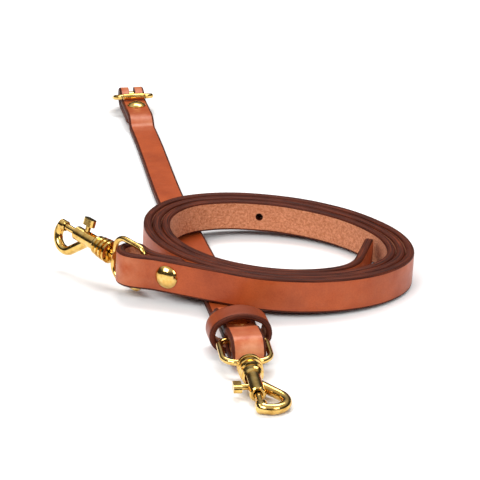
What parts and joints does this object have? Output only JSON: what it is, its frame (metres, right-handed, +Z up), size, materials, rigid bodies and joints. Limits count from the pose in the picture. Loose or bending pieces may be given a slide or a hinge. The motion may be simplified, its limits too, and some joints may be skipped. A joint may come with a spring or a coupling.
{
  "type": "training leash",
  "caption": "Leather training leash in two lengths: a coiled strap and a flat strap, each with a riveted swivel snap hook; the flat one also has a buckle and a keeper.",
  "frame": {"origin": "on the table, under the middle of the whole leash as it lies", "axes": "+Z up from the table; +Y along the flat strap's length, towards the buckle; +X to the right, across it"},
  "size_m": [0.1583, 0.4225, 0.0265],
  "materials": {
    "leather": "satin, vegetable tanned, burnished edges",
    "brass": "polished",
    "spring_steel": "satin"
  },
  "bodies": {
    "short_leash": {"short_strap": "leather", "buckle_rivet_cap": "brass", "buckle_rivet_post": "brass", "front_rivet_cap": "brass", "front_rivet_post": "brass"},
    "keeper": {"keeper_loop": "leather", "keeper_staple": "brass"},
    "buckle_ring": {"buckle_frame": "brass"},
    "prong": {"buckle_prong": "brass"},
    "front_swivel_eye": {"front_eye": "brass"},
    "front_snap": {"front_hook": "brass", "front_spring": "spring_steel"},
    "front_latch": {"front_bolt": "brass", "front_thumb_lever": "brass"},
    "long_leash": {"long_strap": "leather", "long_rivet_cap": "brass", "long_rivet_post": "brass"},
    "left_swivel_eye": {"left_eye": "brass"},
    "left_snap": {"left_hook": "brass", "left_spring": "spring_steel"},
    "left_latch": {"left_bolt": "brass", "left_thumb_lever": "brass"}
  },
  "joints": [
    {"name": "keeper_slide", "type": "slide", "parent": "short_leash", "child": "keeper", "axis": [-0.1745, 0.9847, 0], "range_m": [0, 0.0025]},
    {"name": "buckle_ring_hinge", "type": "hinge", "parent": "short_leash", "child": "buckle_ring", "pos_m": [-0.05755, 0.19803, 0.0068], "axis": [-0.9847, -0.1745, 0], "range_deg": [0, 165]},
    {"name": "prong_hinge", "type": "hinge", "parent": "short_leash", "child": "prong", "pos_m": [-0.05755, 0.19803, 0.0068], "axis": [0.9847, 0.1745, 0], "range_deg": [0, 165]},
    {"name": "front_eye_hinge", "type": "hinge", "parent": "short_leash", "child": "front_swivel_eye", "pos_m": [0.00426, -0.15546, 0.00769], "axis": [-0.9903, -0.1392, 0], "range_deg": [0, 20]},
    {"name": "front_swivel", "type": "hinge", "parent": "front_swivel_eye", "child": "front_snap", "pos_m": [0.00679, -0.17341, 0.00595], "axis": [0.1385, -0.9857, -0.0958], "continuous": true},
    {"name": "front_thumb_slide", "type": "slide", "parent": "front_snap", "child": "front_latch", "axis": [-0.1385, 0.9857, 0.0958], "range_m": [0, 0.0059], "stiffness_N_per_m": 250, "springref_m": -0.004, "deforming": ["front_spring"]},
    {"name": "coil_lift_off", "type": "slide", "parent": "short_leash", "child": "long_leash", "axis": [0, 0, 1], "range_m": [0, 0.1]},
    {"name": "left_eye_hinge", "type": "hinge", "parent": "long_leash", "child": "left_swivel_eye", "pos_m": [-0.03809, -0.08997, 0.01212], "axis": [-0.1342, 0.0636, -0.9889], "range_deg": [-6, 6]},
    {"name": "left_swivel", "type": "hinge", "parent": "left_swivel_eye", "child": "left_snap", "pos_m": [-0.05062, -0.07701, 0.01465], "axis": [-0.6879, 0.7123, 0.1392], "continuous": true},
    {"name": "left_thumb_slide", "type": "slide", "parent": "left_snap", "child": "left_latch", "axis": [0.6879, -0.7123, -0.1392], "range_m": [0, 0.0059], "stiffness_N_per_m": 250, "springref_m": -0.004, "deforming": ["left_spring"]}
  ]
}
